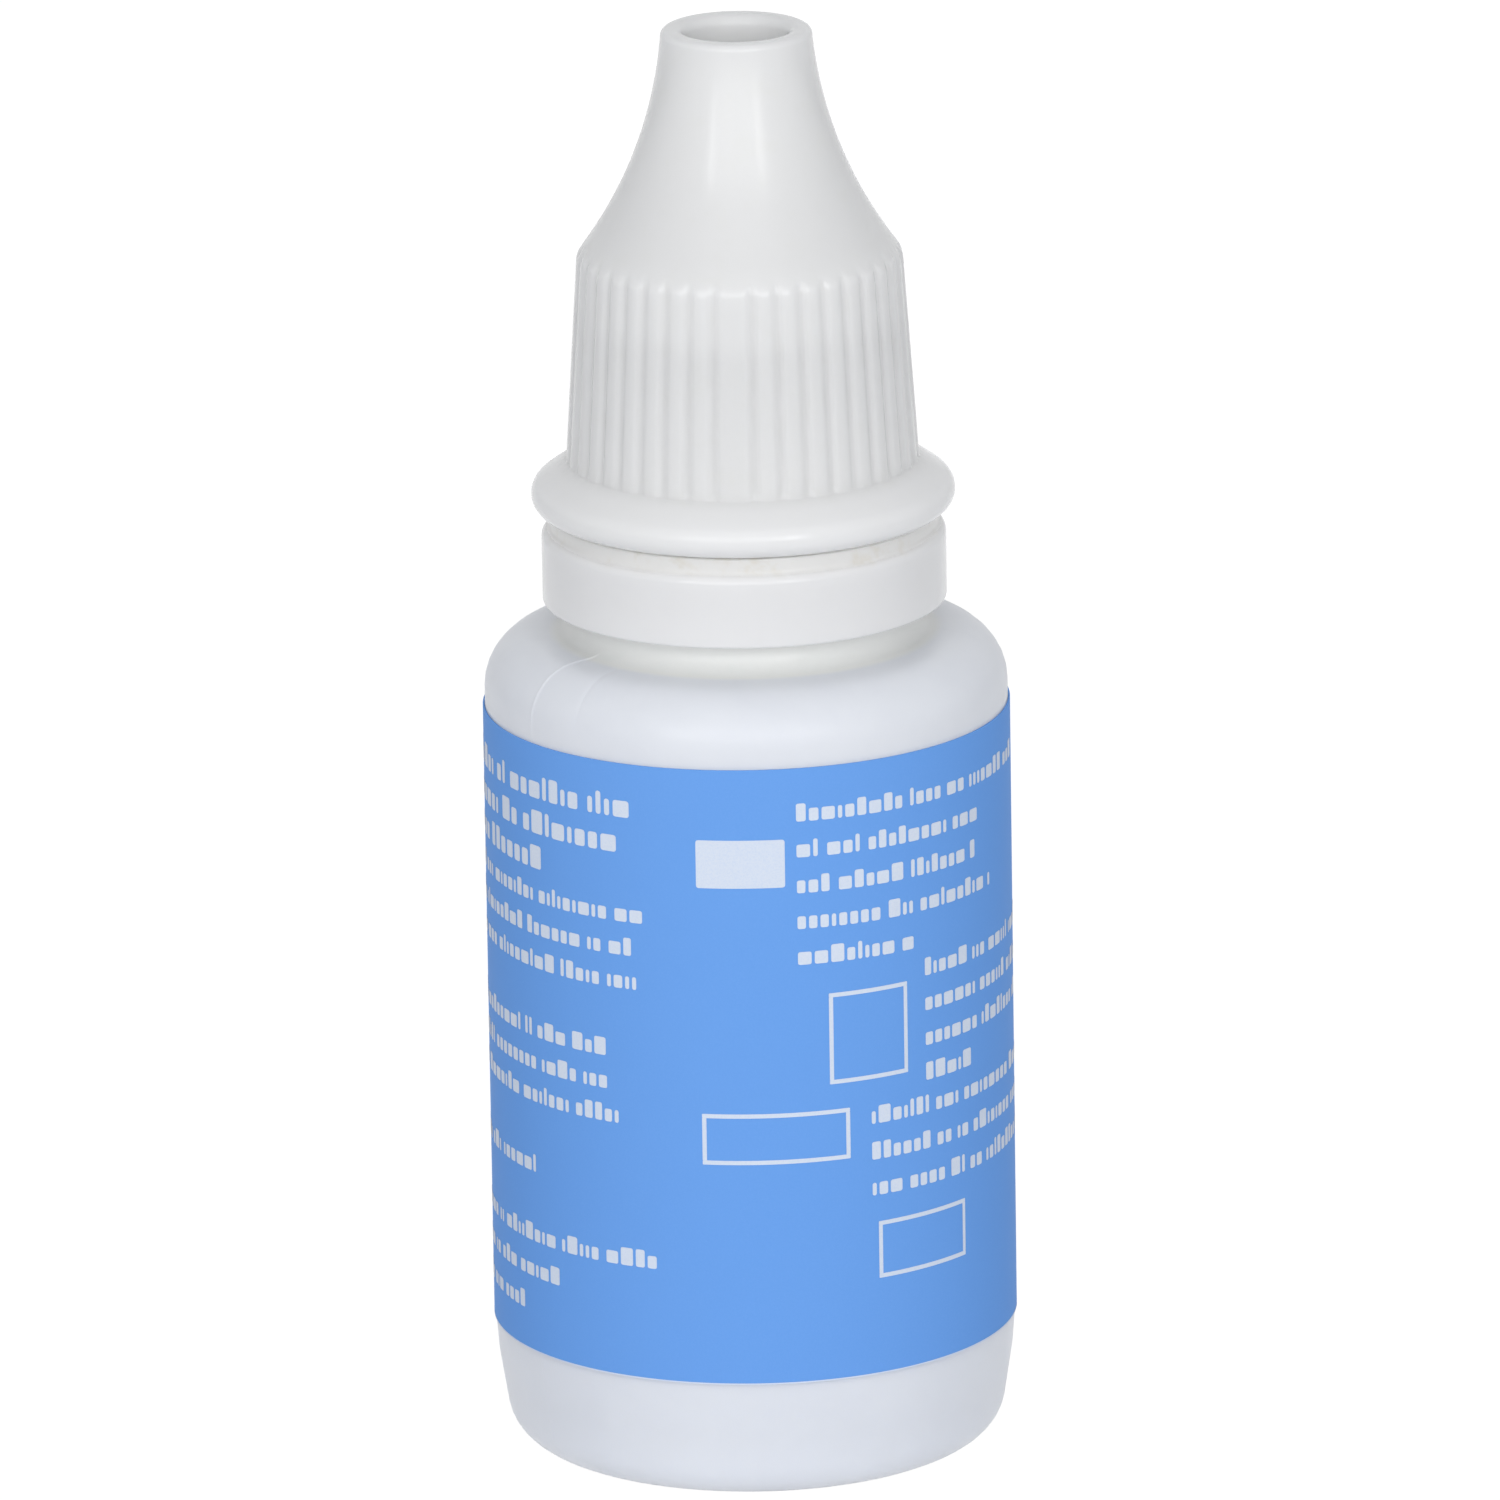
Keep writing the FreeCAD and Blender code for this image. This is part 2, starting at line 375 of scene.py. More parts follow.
@dataclass
class Outline:
    """A half section in millimetres of radius and height, whose corners can be rounded."""

    corners: list[tuple[Vector, float]] = field(default_factory=list)

    def to(self, radius: float, height: float, rounding: float = 0.0) -> "Outline":
        """Run straight to a corner.

        Args:
            radius: The corner's distance from the axis.
            height: Its height above the foot.
            rounding: The radius that rounds it.

        Returns:
            The outline itself.
        """
        self.corners.append((Vector((radius, height)), rounding))
        return self

    def bow(self, radius: float, height: float, sag: float, step: float = 2.0) -> "Outline":
        """Run on an arc that swings out to the left of its chord.

        Args:
            radius: The end's distance from the axis.
            height: Its height above the foot.
            sag: How far the arc leaves its chord.
            step: The largest turn between two points, in degrees; the first is left to the corner's rounding.

        Returns:
            The outline itself.
        """
        start = self.corners[-1][0]
        end = Vector((radius, height))
        chord = end - start
        left = Vector((-chord.y, chord.x)).normalized()
        bend = chord.length**2 / (8 * sag) + sag / 2
        centre = (start + end) / 2 + left * (sag - bend)
        for point in arc(centre, start, end, step)[2:]:
            self.to(point.x, point.y)
        return self

    def points(self, longest: float = 99.0) -> list[Vector]:
        """Round the corners and divide the long runs.

        Args:
            longest: The longest run that is left whole.

        Returns:
            The section's points in order.
        """
        rounded: list[Vector] = []
        count = len(self.corners)
        for number, (corner, rounding) in enumerate(self.corners):
            if not rounding:
                rounded.append(corner)
                continue
            back = (self.corners[number - 1][0] - corner).normalized()
            onward = (self.corners[(number + 1) % count][0] - corner).normalized()
            half_angle = back.angle(onward) / 2
            reach = rounding / math.tan(half_angle)
            centre = corner + (back + onward).normalized() * (rounding / math.sin(half_angle))
            rounded += arc(centre, corner + back * reach, corner + onward * reach, ROUNDING_STEP)
        divided: list[Vector] = []
        for number, point in enumerate(rounded):
            following = rounded[(number + 1) % len(rounded)]
            steps = max(1, math.ceil((following - point).length / longest))
            divided += [point.lerp(following, step / steps) for step in range(steps)]
        return divided


def arc(centre: Vector, start: Vector, end: Vector, step: float) -> list[Vector]:
    """Points along an arc of under half a turn.

    Args:
        centre: The arc's centre.
        start: Its first point.
        end: Its last point.
        step: The largest turn between two points, in degrees.

    Returns:
        The points, both ends among them.
    """
    arm = start - centre
    turn = (end - centre).angle_signed(arm)
    count = max(1, math.ceil(abs(math.degrees(turn)) / step))
    return [centre + Matrix.Rotation(turn * number / count, 2) @ arm for number in range(count + 1)]


def ring_angles(count: int, dense: Sequence[float] = (), spread: Sequence[float] = ()) -> list[float]:
    """Angles round the axis, with extra ones close to some places.

    Args:
        count: The number of even steps.
        dense: The places that get extra angles, in degrees.
        spread: The offsets of the extra angles from each place, in degrees.

    Returns:
        The angles in order, in degrees from +X.
    """
    angles = [360 * number / count for number in range(count)]
    extra = [(place + offset) % 360 for place in dense for offset in spread]
    kept = [angle for angle in angles if all(abs(angle - other) > LEAST_TURN for other in extra)]
    return sorted(kept + extra)


def finish_mesh(
    name: str, vertices: list[Vector], faces: list[tuple[int, ...]], crease: float = 38.0
) -> bpy.types.Object:
    """Make an object of a mesh in millimetres, shaded smooth up to a crease angle.

    Args:
        name: The object's name.
        vertices: The mesh's points, in millimetres.
        faces: Its faces.
        crease: The angle above which an edge shows sharp, in degrees.

    Returns:
        The object, linked to the scene.
    """
    mesh = bpy.data.meshes.new(name)
    mesh.from_pydata([vertex * MM for vertex in vertices], [], faces)
    build = bmesh.new()
    build.from_mesh(mesh)
    bmesh.ops.recalc_face_normals(build, faces=build.faces)
    build.to_mesh(mesh)
    build.free()
    mesh.polygons.foreach_set("use_smooth", [True] * len(mesh.polygons))
    mesh.set_sharp_from_angle(angle=math.radians(crease))
    piece = bpy.data.objects.new(name, mesh)
    bpy.context.scene.collection.objects.link(piece)
    return piece


def turned(
    name: str, points: list[Vector], angles: list[float], shift: Shift | None = None
) -> bpy.types.Object:
    """Sweep a section once round the axis.

    Args:
        name: The object's name.
        points: The closed section's points, in millimetres.
        angles: The angles at which it is set, in degrees from +X.
        shift: A function of angle, radius and height that gives how far a point moves out and up.

    Returns:
        The object.
    """
    vertices: list[Vector] = []
    rings: list[list[int]] = []
    for point in points:
        if point.x < 1e-6:
            rings.append([len(vertices)])
            vertices.append(Vector((0, 0, point.y)))
            continue
        rings.append(list(range(len(vertices), len(vertices) + len(angles))))
        for angle in angles:
            out, rise = shift(angle, point.x, point.y) if shift else (0.0, 0.0)
            turn = math.radians(angle)
            radius = point.x + out
            vertices.append(Vector((radius * math.cos(turn), radius * math.sin(turn), point.y + rise)))
    faces: list[tuple[int, ...]] = []
    for ring, following in zip(rings, rings[1:] + rings[:1]):
        faces += strip(ring, following)
    return finish_mesh(name, vertices, faces)


def strip(ring: list[int], following: list[int]) -> list[tuple[int, ...]]:
    """Faces between two rings, either of which may be a single point on the axis.

    Args:
        ring: The first ring's vertices.
        following: The second ring's vertices.

    Returns:
        The faces.
    """
    if len(ring) == 1 and len(following) == 1:
        return []
    count = max(len(ring), len(following))
    if len(ring) == 1:
        return [(ring[0], following[number], following[(number + 1) % count]) for number in range(count)]
    if len(following) == 1:
        return [(ring[number], following[0], ring[(number + 1) % count]) for number in range(count)]
    return [
        (ring[number], following[number], following[(number + 1) % count], ring[(number + 1) % count])
        for number in range(count)
    ]


def smooth_step(low: float, high: float, place: float) -> float:
    """Return 0 at the low mark, 1 at the high mark and a smooth rise between."""
    share = min(1.0, max(0.0, (place - low) / (high - low)))
    return share * share * (3 - 2 * share)


def soft_least(first: float, second: float, blend: float) -> float:
    """Return the smaller of two numbers, with the change between them smoothed.

    Args:
        first: A number.
        second: Another number.
        blend: The difference below which they are blended.

    Returns:
        The smaller number, or a little less where they are close.
    """
    share = min(1.0, max(0.0, 0.5 + (second - first) / (2 * blend)))
    return second + (first - second) * share - blend * share * (1 - share)


def turn_between(first: float, second: float) -> float:
    """Return the smaller turn from the first angle to the second, in degrees."""
    return (second - first + 180) % 360 - 180


def settle(
    piece: bpy.types.Object, material: bpy.types.Material, body: Body, slot: Slot, *nodes: str
) -> None:
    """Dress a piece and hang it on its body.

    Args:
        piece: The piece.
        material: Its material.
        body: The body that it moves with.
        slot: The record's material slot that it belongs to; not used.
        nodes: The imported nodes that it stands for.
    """
    piece.data.materials.append(material)
    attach(piece, body.value)
    if nodes:
        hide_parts(*nodes)
    log.info("%s: %d faces on %s", piece.name, len(piece.data.polygons), body.value)


@dataclass
class ScrewThread:
    """One winding of a screw thread, whose ends run out into the wall."""

    name: str
    root_radius: float
    crest_radius: float
    pitch: float
    start_height: float
    start_angle: float
    turns: float
    root_width: float = 1.15
    crest_width: float = 0.5
    flank_share: float = 0.75
    flank_spread: float = 0.12
    crest_corner: float = 0.05
    sink: float = 0.12
    run_out: float = 40.0
    step: float = 5.0

    def build(self) -> bpy.types.Object:
        """Sweep the thread's section along its helix.

        Returns:
            The object.
        """
        vertices: list[Vector] = []
        faces: list[tuple[int, ...]] = []
        foot = self.root_radius - math.copysign(self.sink, self.crest_radius - self.root_radius)
        whole = 360 * self.turns
        count = round(whole / self.step)
        for number in range(count + 1):
            swept = self.step * number
            share = min(smooth_step(0, self.run_out, swept), smooth_step(0, self.run_out, whole - swept))
            crest = self.root_radius + (self.crest_radius - self.root_radius) * share
            height = self.start_height + self.pitch * swept / 360
            angle = math.radians(self.start_angle + swept)
            flank = self.root_radius + (crest - self.root_radius) * self.flank_share
            section = [
                (foot, -self.root_width / 2),
                (flank, -self.crest_width / 2 - self.flank_spread),
                (crest, -self.crest_width / 2 + self.crest_corner),
                (crest, self.crest_width / 2 - self.crest_corner),
                (flank, self.crest_width / 2 + self.flank_spread),
                (foot, self.root_width / 2),
            ]
            corners = len(section)
            for radius, rise in section:
                vertices.append(Vector((radius * math.cos(angle), radius * math.sin(angle), height + rise)))
        for number in range(count):
            near, far = corners * number, corners * (number + 1)
            for side in range(corners):
                following = (side + 1) % corners
                faces.append((near + side, near + following, far + following, far + side))
        faces += [tuple(range(corners)), tuple(range(corners * count, corners * (count + 1)))]
        return finish_mesh(self.name, vertices, faces, 60)


@dataclass
class BottleBody:
    """The blow-moulded bottle: recessed base, tapered foot, round shoulder, collar, tamper bead and neck."""

    radius: float = 11.93
    shoulder_height: float = 38.3
    shoulder_fall: float = 0.22
    shoulder_rounding: float = 2.5
    foot_radius: float = 11.18
    foot_taper_height: float = 4.8
    heel_rounding: float = 2.0
    recess_radius: float = 8.08
    recess_height: float = 0.9
    recess_slope: float = 1.1
    recess_rounding: float = 0.5
    ring_rounding: float = 0.3
    taper_rounding: float = 9.0
    floor_thickness: float = 1.2
    wall: float = 0.95
    collar_radius: float = 7.75
    collar_rounding: float = 0.9
    bead_radius: float = 8.15
    bead_bottom: float = 41.2
    bead_top: float = 42.1
    bead_root: float = 0.1
    bead_edge: float = 0.08
    bead_rounding: float = 0.25
    bead_slope: float = 1.0
    neck_radius: float = 6.3
    neck_root: float = 0.3
    rim_height: float = 51.8
    rim_rounding: float = 0.25
    bore_radius: float = 5.1
    bore_rounding: float = 0.12
    throat_rounding: float = 0.8
    longest_run: float = 1.2
    parting_angles: tuple[float, float] = (215.0, 35.0)
    parting_height: float = 0.05
    parting_width: float = 0.07
    parting_heights: tuple[float, float] = (35.3, 37.3)
    faint_share: float = 0.3
    crease_angle: float = 229.3
    crease_depth: float = 0.03
    crease_width: float = 0.12
    crease_heights: tuple[float, float] = (35.6, 37.0)
    crease_reach: float = 9.4
    edge_gap: float = 0.1

    def section(self) -> list[Vector]:
        """Return the wall's section."""
        floor = self.recess_height + self.floor_thickness
        inside = self.radius - self.wall
        ceiling = self.shoulder_height - self.wall
        outline = Outline()
        outline.to(0, floor).to(0, self.recess_height)
        outline.to(self.recess_radius - self.recess_slope, self.recess_height, self.recess_rounding)
        outline.to(self.recess_radius, 0, self.ring_rounding)
        outline.to(self.foot_radius, 0, self.heel_rounding)
        outline.to(self.radius, self.foot_taper_height, self.taper_rounding)
        outline.to(self.radius, self.shoulder_height - self.shoulder_fall, self.shoulder_rounding)
        outline.to(self.collar_radius, self.shoulder_height, self.collar_rounding)
        outline.to(self.collar_radius, self.bead_bottom, self.bead_root)
        outline.to(self.bead_radius, self.bead_bottom, self.bead_edge)
        outline.to(self.bead_radius, self.bead_top, self.bead_rounding)
        outline.to(self.neck_radius, self.bead_top + self.bead_slope, self.neck_root)
        outline.to(self.neck_radius, self.rim_height, self.rim_rounding)
        outline.to(self.bore_radius, self.rim_height, self.bore_rounding)
        outline.to(self.bore_radius, ceiling, self.throat_rounding)
        outline.to(inside, ceiling, self.shoulder_rounding - self.wall)
        outline.to(inside, floor, self.heel_rounding - self.wall)
        return outline.points(self.longest_run)

    def parting_ridge(self, angle: float, radius: float, height: float) -> tuple[float, float]:
        """Give the height of the mould's parting lines, square to the surface.

        Args:
            angle: The place round the axis, in degrees.
            radius: Its distance from the axis.
            height: Its height above the foot.

        Returns:
            How far the surface moves out and up there, in millimetres.
        """
        on_body = self.ring_rounding < height < self.shoulder_height + self.edge_gap
        if radius < self.collar_radius + self.edge_gap / 2 or not on_body:
            return 0.0, 0.0
        clear = smooth_step(*self.parting_heights, height)
        strength = self.parting_height * (self.faint_share + (1 - self.faint_share) * clear)
        ridge = 0.0
        for place in self.parting_angles:
            off = math.radians(turn_between(place, angle)) * radius
            ridge += strength * math.exp(-((off / self.parting_width) ** 2))
        off = math.radians(turn_between(self.crease_angle, angle)) * radius
        outward = smooth_step(self.collar_radius, self.crease_reach, radius)
        depth = self.crease_depth * smooth_step(*self.crease_heights, height) * outward
        lift = ridge - depth * math.exp(-((off / self.crease_width) ** 2))
        bend_start = self.shoulder_height - self.shoulder_fall - self.shoulder_rounding
        upward = min(1.0, max(0.0, (height - bend_start) / self.shoulder_rounding))
        return lift * math.sqrt(1 - upward * upward), lift * upward

    def build(self) -> None:
        """Make the bottle and its neck's thread."""
        spread = [-1.6, -1.0, -0.7, -0.45, -0.22, 0, 0.22, 0.45, 0.7, 1.0, 1.6]
        angles = ring_angles(160, (*self.parting_angles, self.crease_angle), spread)
        plastic = MouldedPlastic(
            "milky_polyethylene",
            (0.82, 0.845, 0.895),
            (0.79, 0.815, 0.87),
            0.34,
            grain_mm=0.16,
            grain_depth_mm=0.006,
            ripple_mm=4.0,
            ripple_depth_mm=0.03,
            specular=0.35,
            softness=0.35,
            softness_mm=1.2,
            # Within core_mm of the axis the bottle is lighter and greener: painted light that lightens the
            # shade under the band and in the corner at the collar's foot.
            core_mm=8.8,
            core_colour=(0.9, 0.91, 0.895),
            core_blotch_colour=(0.87, 0.89, 0.87),
        ).material()
        shell = turned("bottle_shell", self.section(), angles, self.parting_ridge)
        settle(shell, plastic, Body.BOTTLE, Slot.BOTTLE, "bottle")
        thread = ScrewThread("neck_thread", self.neck_radius, 6.8, 3.0, 44.9, 250, 1.75)
        settle(thread.build(), plastic, Body.BOTTLE, Slot.BOTTLE)


@dataclass(frozen=True)
class TextBlock:
    """A block of printed lines: left edge, first line, spacing, mark height and where each line ends."""

    left: float
    top: float
    pitch: float
    size: float
    ends: tuple[float, ...]


@dataclass
class WrapLabel:
    """The wrap label with its lapped end, and the pale print on it."""

    radius: float = 12.03
    thickness: float = 0.08
    bottom: float = 5.84
    height: float = 29.04
    lap_start: float = 120.0
    lap_angle: float = 16.0
    print_lift: float = 0.008
    margin: float = 0.07
    seed: int = 11
    blocks: tuple[TextBlock, ...] = (
        TextBlock(-104, 32.76, 1.67, 0.78, (-26.5, -27.75, -50)),
        TextBlock(-104, 27.76, 1.58, 0.6, (-20.75, -23, -22.5)),
        TextBlock(-104, 21.3, 1.56, 0.6, (-32, -31, -27.75)),
        TextBlock(-104, 14.8, 1.6, 0.6, (-54,)),
        TextBlock(-104, 11.46, 1.71, 0.6, (-19.25, -44, -60)),
        TextBlock(10.3, 32.7, 1.685, 0.6, (84, 61, 59, 65.5, 38.5)),
        TextBlock(41, 24.54, 1.65, 0.6, (96, 93, 90, 57.5)),
        TextBlock(26.6, 18.06, 1.7, 0.6, (96, 92, 96)),
        TextBlock(126, 31.5, 1.7, 0.6, (205, 198, 206, 192, 203, 205, 195, 182)),
        TextBlock(126, 15.5, 1.7, 0.6, (203, 205, 192, 204, 178)),
    )
    boxes: tuple[tuple[float, float, float, float], ...] = (
        (-11.0, 21.5, 18.7, 16.3),
        (28.0, 53.0, 13.1, 10.4),
        (17.0, 36.0, 24.2, 19.9),
    )
    plate: tuple[float, float, float, float] = (-11.5, 7.75, 29.35, 31.6)
    plate_corner: float = 0.12
    box_line: float = 0.2
    box_corner: float = 0.04
    square_corner: float = 0.01
    margin_ends: tuple[float, float] = (-133.5, 209.7)
    word_lengths: tuple[int, int] = (2, 9)
    width_shares: tuple[float, ...] = (0.35, 0.65, 0.75, 1.05)
    rise_shares: tuple[float, ...] = (0.5, 0.5, 0.5, 0.9)
    corner_share: float = 0.16
    gap_share: float = 0.24
    space_share: float = 0.5
    corner_stops: tuple[float, ...] = (0.0, 0.1, 0.45, 1.0)
    longest_step: float = 2.5
    lap_rise: float = 0.3
    lap_fade: float = 6.0
    edge_rounding: float = 0.02
    edge_height: float = 2.0

    def lap(self, angle: float, radius: float, height: float) -> tuple[float, float]:
        """Give how far the lapped end lifts the outer face.

        Args:
            angle: The place round the axis, in degrees.
            radius: Its distance from the axis.
            height: Its height, which makes no difference.

        Returns:
            How far the surface moves out and up there, in millimetres.
        """
        if radius < self.radius - self.thickness / 2:
            return 0.0, 0.0
        past = (angle - self.lap_start) % 360
        fall = smooth_step(self.lap_angle - self.lap_fade, self.lap_angle, past)
        return self.thickness * smooth_step(0, self.lap_rise, past) * (1 - fall), 0.0

    def place(self, azimuth: float, height: float) -> Vector:
        """Return the point of the print at an azimuth from the front and a height."""
        turn = math.radians(azimuth - 90)
        reach = self.radius + self.print_lift
        return Vector((reach * math.cos(turn), reach * math.sin(turn), height))

    def patch(
        self, start: float, end: float, low: float, high: float, rounding: float
    ) -> tuple[list[Vector], list[tuple[int, ...]]]:
        """Make a bar of ink that follows the label round.

        Args:
            start: Its left end's azimuth, in degrees.
            end: Its right end's azimuth.
            low: Its lower edge's height.
            high: Its upper edge's height.
            rounding: The radius of its corners.

        Returns:
            Its vertices and faces.
        """
        degree = math.radians(1) * self.radius
        inner = math.ceil((end - start) / self.longest_step)
        stops = [
            (share * rounding / degree, math.sqrt(1 - (1 - share) ** 2)) for share in self.corner_stops
        ]
        run = [(start + offset, rise) for offset, rise in stops]
        run += [(start + (end - start) * step / inner, 1.0) for step in range(1, inner)]
        run += [(end - offset, rise) for offset, rise in reversed(stops)]
        run.sort()
        vertices: list[Vector] = []
        for azimuth, rise in run:
            shrink = rounding * (1 - rise)
            vertices += [self.place(azimuth, low + shrink), self.place(azimuth, high - shrink)]
        faces = [(2 * n, 2 * n + 2, 2 * n + 3, 2 * n + 1) for n in range(len(run) - 1)]
        return vertices, faces

    def line_marks(self, draw: random.Random, block: TextBlock, height: float, end: float) -> list[Patch]:
        """Fill a line with words of plain marks.

        Args:
            draw: The run of chance numbers.
            block: The block the line is in.
            height: The line's height.
            end: The azimuth of its end.

        Returns:
            Each mark's start, end, lower edge, upper edge and corner radius.
        """
        size = block.size
        degree = math.degrees(1 / self.radius)
        marks = []
        cursor = block.left
        while cursor < end:
            for _ in range(draw.randint(*self.word_lengths)):
                stop = cursor + size * draw.choice(self.width_shares) * degree
                if stop > end:
                    break
                rise = size * draw.choice(self.rise_shares)
                marks.append((cursor, stop, height - size / 2, height + rise, size * self.corner_share))
                cursor = stop + size * self.gap_share * degree
            cursor += size * self.space_share * degree
        return marks

    def print_marks(self) -> list[Patch]:
        """Lay out the lines of every block, and the plate above them."""
        draw = random.Random(self.seed)
        marks = [(*self.plate, self.plate_corner)]
        for block in self.blocks:
            for line, end in enumerate(block.ends):
                marks += self.line_marks(draw, block, block.top - block.pitch * line, end)
        return marks

    def box_bars(self) -> list[Patch]:
        """Lay out the four sides of every empty box, and the bare margin along the label's lower edge."""
        side = math.degrees(self.box_line / self.radius)
        bars = []
        for left, right, top, low in self.boxes:
            under, over = top - self.box_line, low + self.box_line
            bars += [(left, right, under, top, self.box_corner), (left, right, low, over, self.box_corner)]
            bars.append((left, left + side, over, under, self.square_corner))
            bars.append((right - side, right, over, under, self.square_corner))
        bars.append((*self.margin_ends, self.bottom, self.bottom + self.margin, self.square_corner))
        return bars

    def build(self) -> None:
        """Make the film and the print."""
        inside = self.radius - self.thickness
        top = self.bottom + self.height
        outline = Outline().to(inside, self.bottom).to(self.radius, self.bottom, self.edge_rounding)
        outline.to(self.radius, top, self.edge_rounding).to(inside, top)
        angles = ring_angles(160, [self.lap_start], [-0.05, 0.08, 0.2, 0.35])
        film = turned("label_film", outline.points(self.edge_height), angles, self.lap)
        blue = PrintedFilm("blue_film", (0.16, 0.385, 0.87), (0.185, 0.42, 0.9), 0.5).material()
        settle(film, blue, Body.BOTTLE, Slot.LABEL, "label")
        vertices: list[Vector] = []
        faces: list[tuple[int, ...]] = []
        for bar in self.print_marks() + self.box_bars():
            points, sides = self.patch(*bar)
            faces += [tuple(index + len(vertices) for index in side) for side in sides]
            vertices += points
        ink = finish_mesh("label_print", vertices, faces)
        pale = PrintedFilm("pale_ink", (0.76, 0.82, 0.92), (0.6, 0.71, 0.9), 0.4).material()
        settle(ink, pale, Body.BOTTLE, Slot.LABEL)


@dataclass
class TamperBand:
    """The ring under the cap: rounded wall, catch under the neck's bead, web and the torn break bridges."""

    radius: float = 9.21
    bore_radius: float = 8.35
    bottom: float = 39.75
    top: float = 43.1
    rounding: float = 0.42
    catch_radius: float = 7.95
    catch_top: float = 41.0
    web_radius: float = 8.83
    web_top: float = 43.87
    bridge_count: int = 30
    bridge_width: float = 0.9
    bridge_depth: float = 0.26
    bridge_top: float = 43.91
    bridge_root: float = 0.15
    bridge_rounding: float = 0.05
    bridge_lean: float = 0.05
    bridge_wear: float = 0.04
    waist_shares: tuple[float, float] = (0.8, 0.95)
    foot_rounding: float = 0.15
    land_fall: float = 0.12
    land_rise: float = 0.06
    land_rounding: float = 0.25
    web_rounding: float = 0.12
    bore_rounding: float = 0.08
    catch_rounding: float = 0.06
    mouth_rounding: float = 0.1
    longest_run: float = 0.5

    def bridges(self) -> bpy.types.Object:
        """Make the ring of break bridges, torn a little unevenly.

        Returns:
            The object.
        """
        draw = random.Random(5)
        build = bmesh.new()
        middle = (self.bore_radius + self.web_radius) / 2
        for number in range(self.bridge_count):
            lean = draw.uniform(-self.bridge_lean, self.bridge_lean)
            waist = draw.uniform(*self.waist_shares)
            top = self.bridge_top - draw.uniform(0.0, self.bridge_wear)
            made = bmesh.ops.create_cube(build, size=1.0)["verts"]
            for vertex in made:
                raised = vertex.co.z > 0
                width = self.bridge_width * (waist if raised else 1.0)
                vertex.co.x = vertex.co.x * self.bridge_depth + middle
                vertex.co.y = vertex.co.y * width + (lean if raised else 0.0)
                vertex.co.z = top if raised else self.web_top - self.bridge_root
            around = Matrix.Rotation(math.radians(360 * number / self.bridge_count), 4, "Z")
            bmesh.ops.transform(build, matrix=around, verts=made)
        rounding = {"offset": self.bridge_rounding, "segments": 3, "profile": 0.5, "affect": "EDGES"}
        bmesh.ops.bevel(build, geom=build.edges[:], **rounding)
        vertices = [vertex.co.copy() for vertex in build.verts]
        faces = [tuple(corner.index for corner in face.verts) for face in build.faces]
        build.free()
        return finish_mesh("break_bridges", vertices, faces, 80)

    def build(self) -> None:
        """Make the ring and its bridges."""
        outline = Outline().to(self.radius, self.bottom, self.foot_rounding)
        outline.to(self.radius, self.top - self.land_fall, self.rounding)
        outline.to(self.web_radius, self.top + self.land_rise, self.land_rounding)
        outline.to(self.web_radius, self.web_top, self.web_rounding)
        outline.to(self.bore_radius, self.web_top, self.bore_rounding).to(self.bore_radius, self.catch_top)
        outline.to(self.catch_radius, self.catch_top, self.catch_rounding)
        outline.to(self.bore_radius, self.bottom, self.mouth_rounding)
        plastic = MouldedPlastic(
            "white_band",
            (0.83, 0.83, 0.835),
            (0.815, 0.815, 0.82),
            0.2,
            softness=0.5,
            softness_mm=1.2,
            # Within core_mm of the axis the web is a light cream: painted light that lightens the shaded
            # recess under the flange. The second colour gives it darker beige blotches.
            core_mm=8.98,
            core_colour=(0.91, 0.9, 0.87),
            core_blotch_colour=(0.8, 0.75, 0.64),
            core_dullness=0.15,
        ).material()
        ring = turned("band_ring", outline.points(self.longest_run), ring_angles(160))
        settle(ring, plastic, Body.BAND, Slot.BAND, "tamper_band")
        torn = MouldedPlastic(
            "torn_bridge", (0.84, 0.82, 0.76), (0.74, 0.70, 0.6), 0.5, grain_depth_mm=0.01
        ).material()
        settle(self.bridges(), torn, Body.BAND, Slot.BAND)


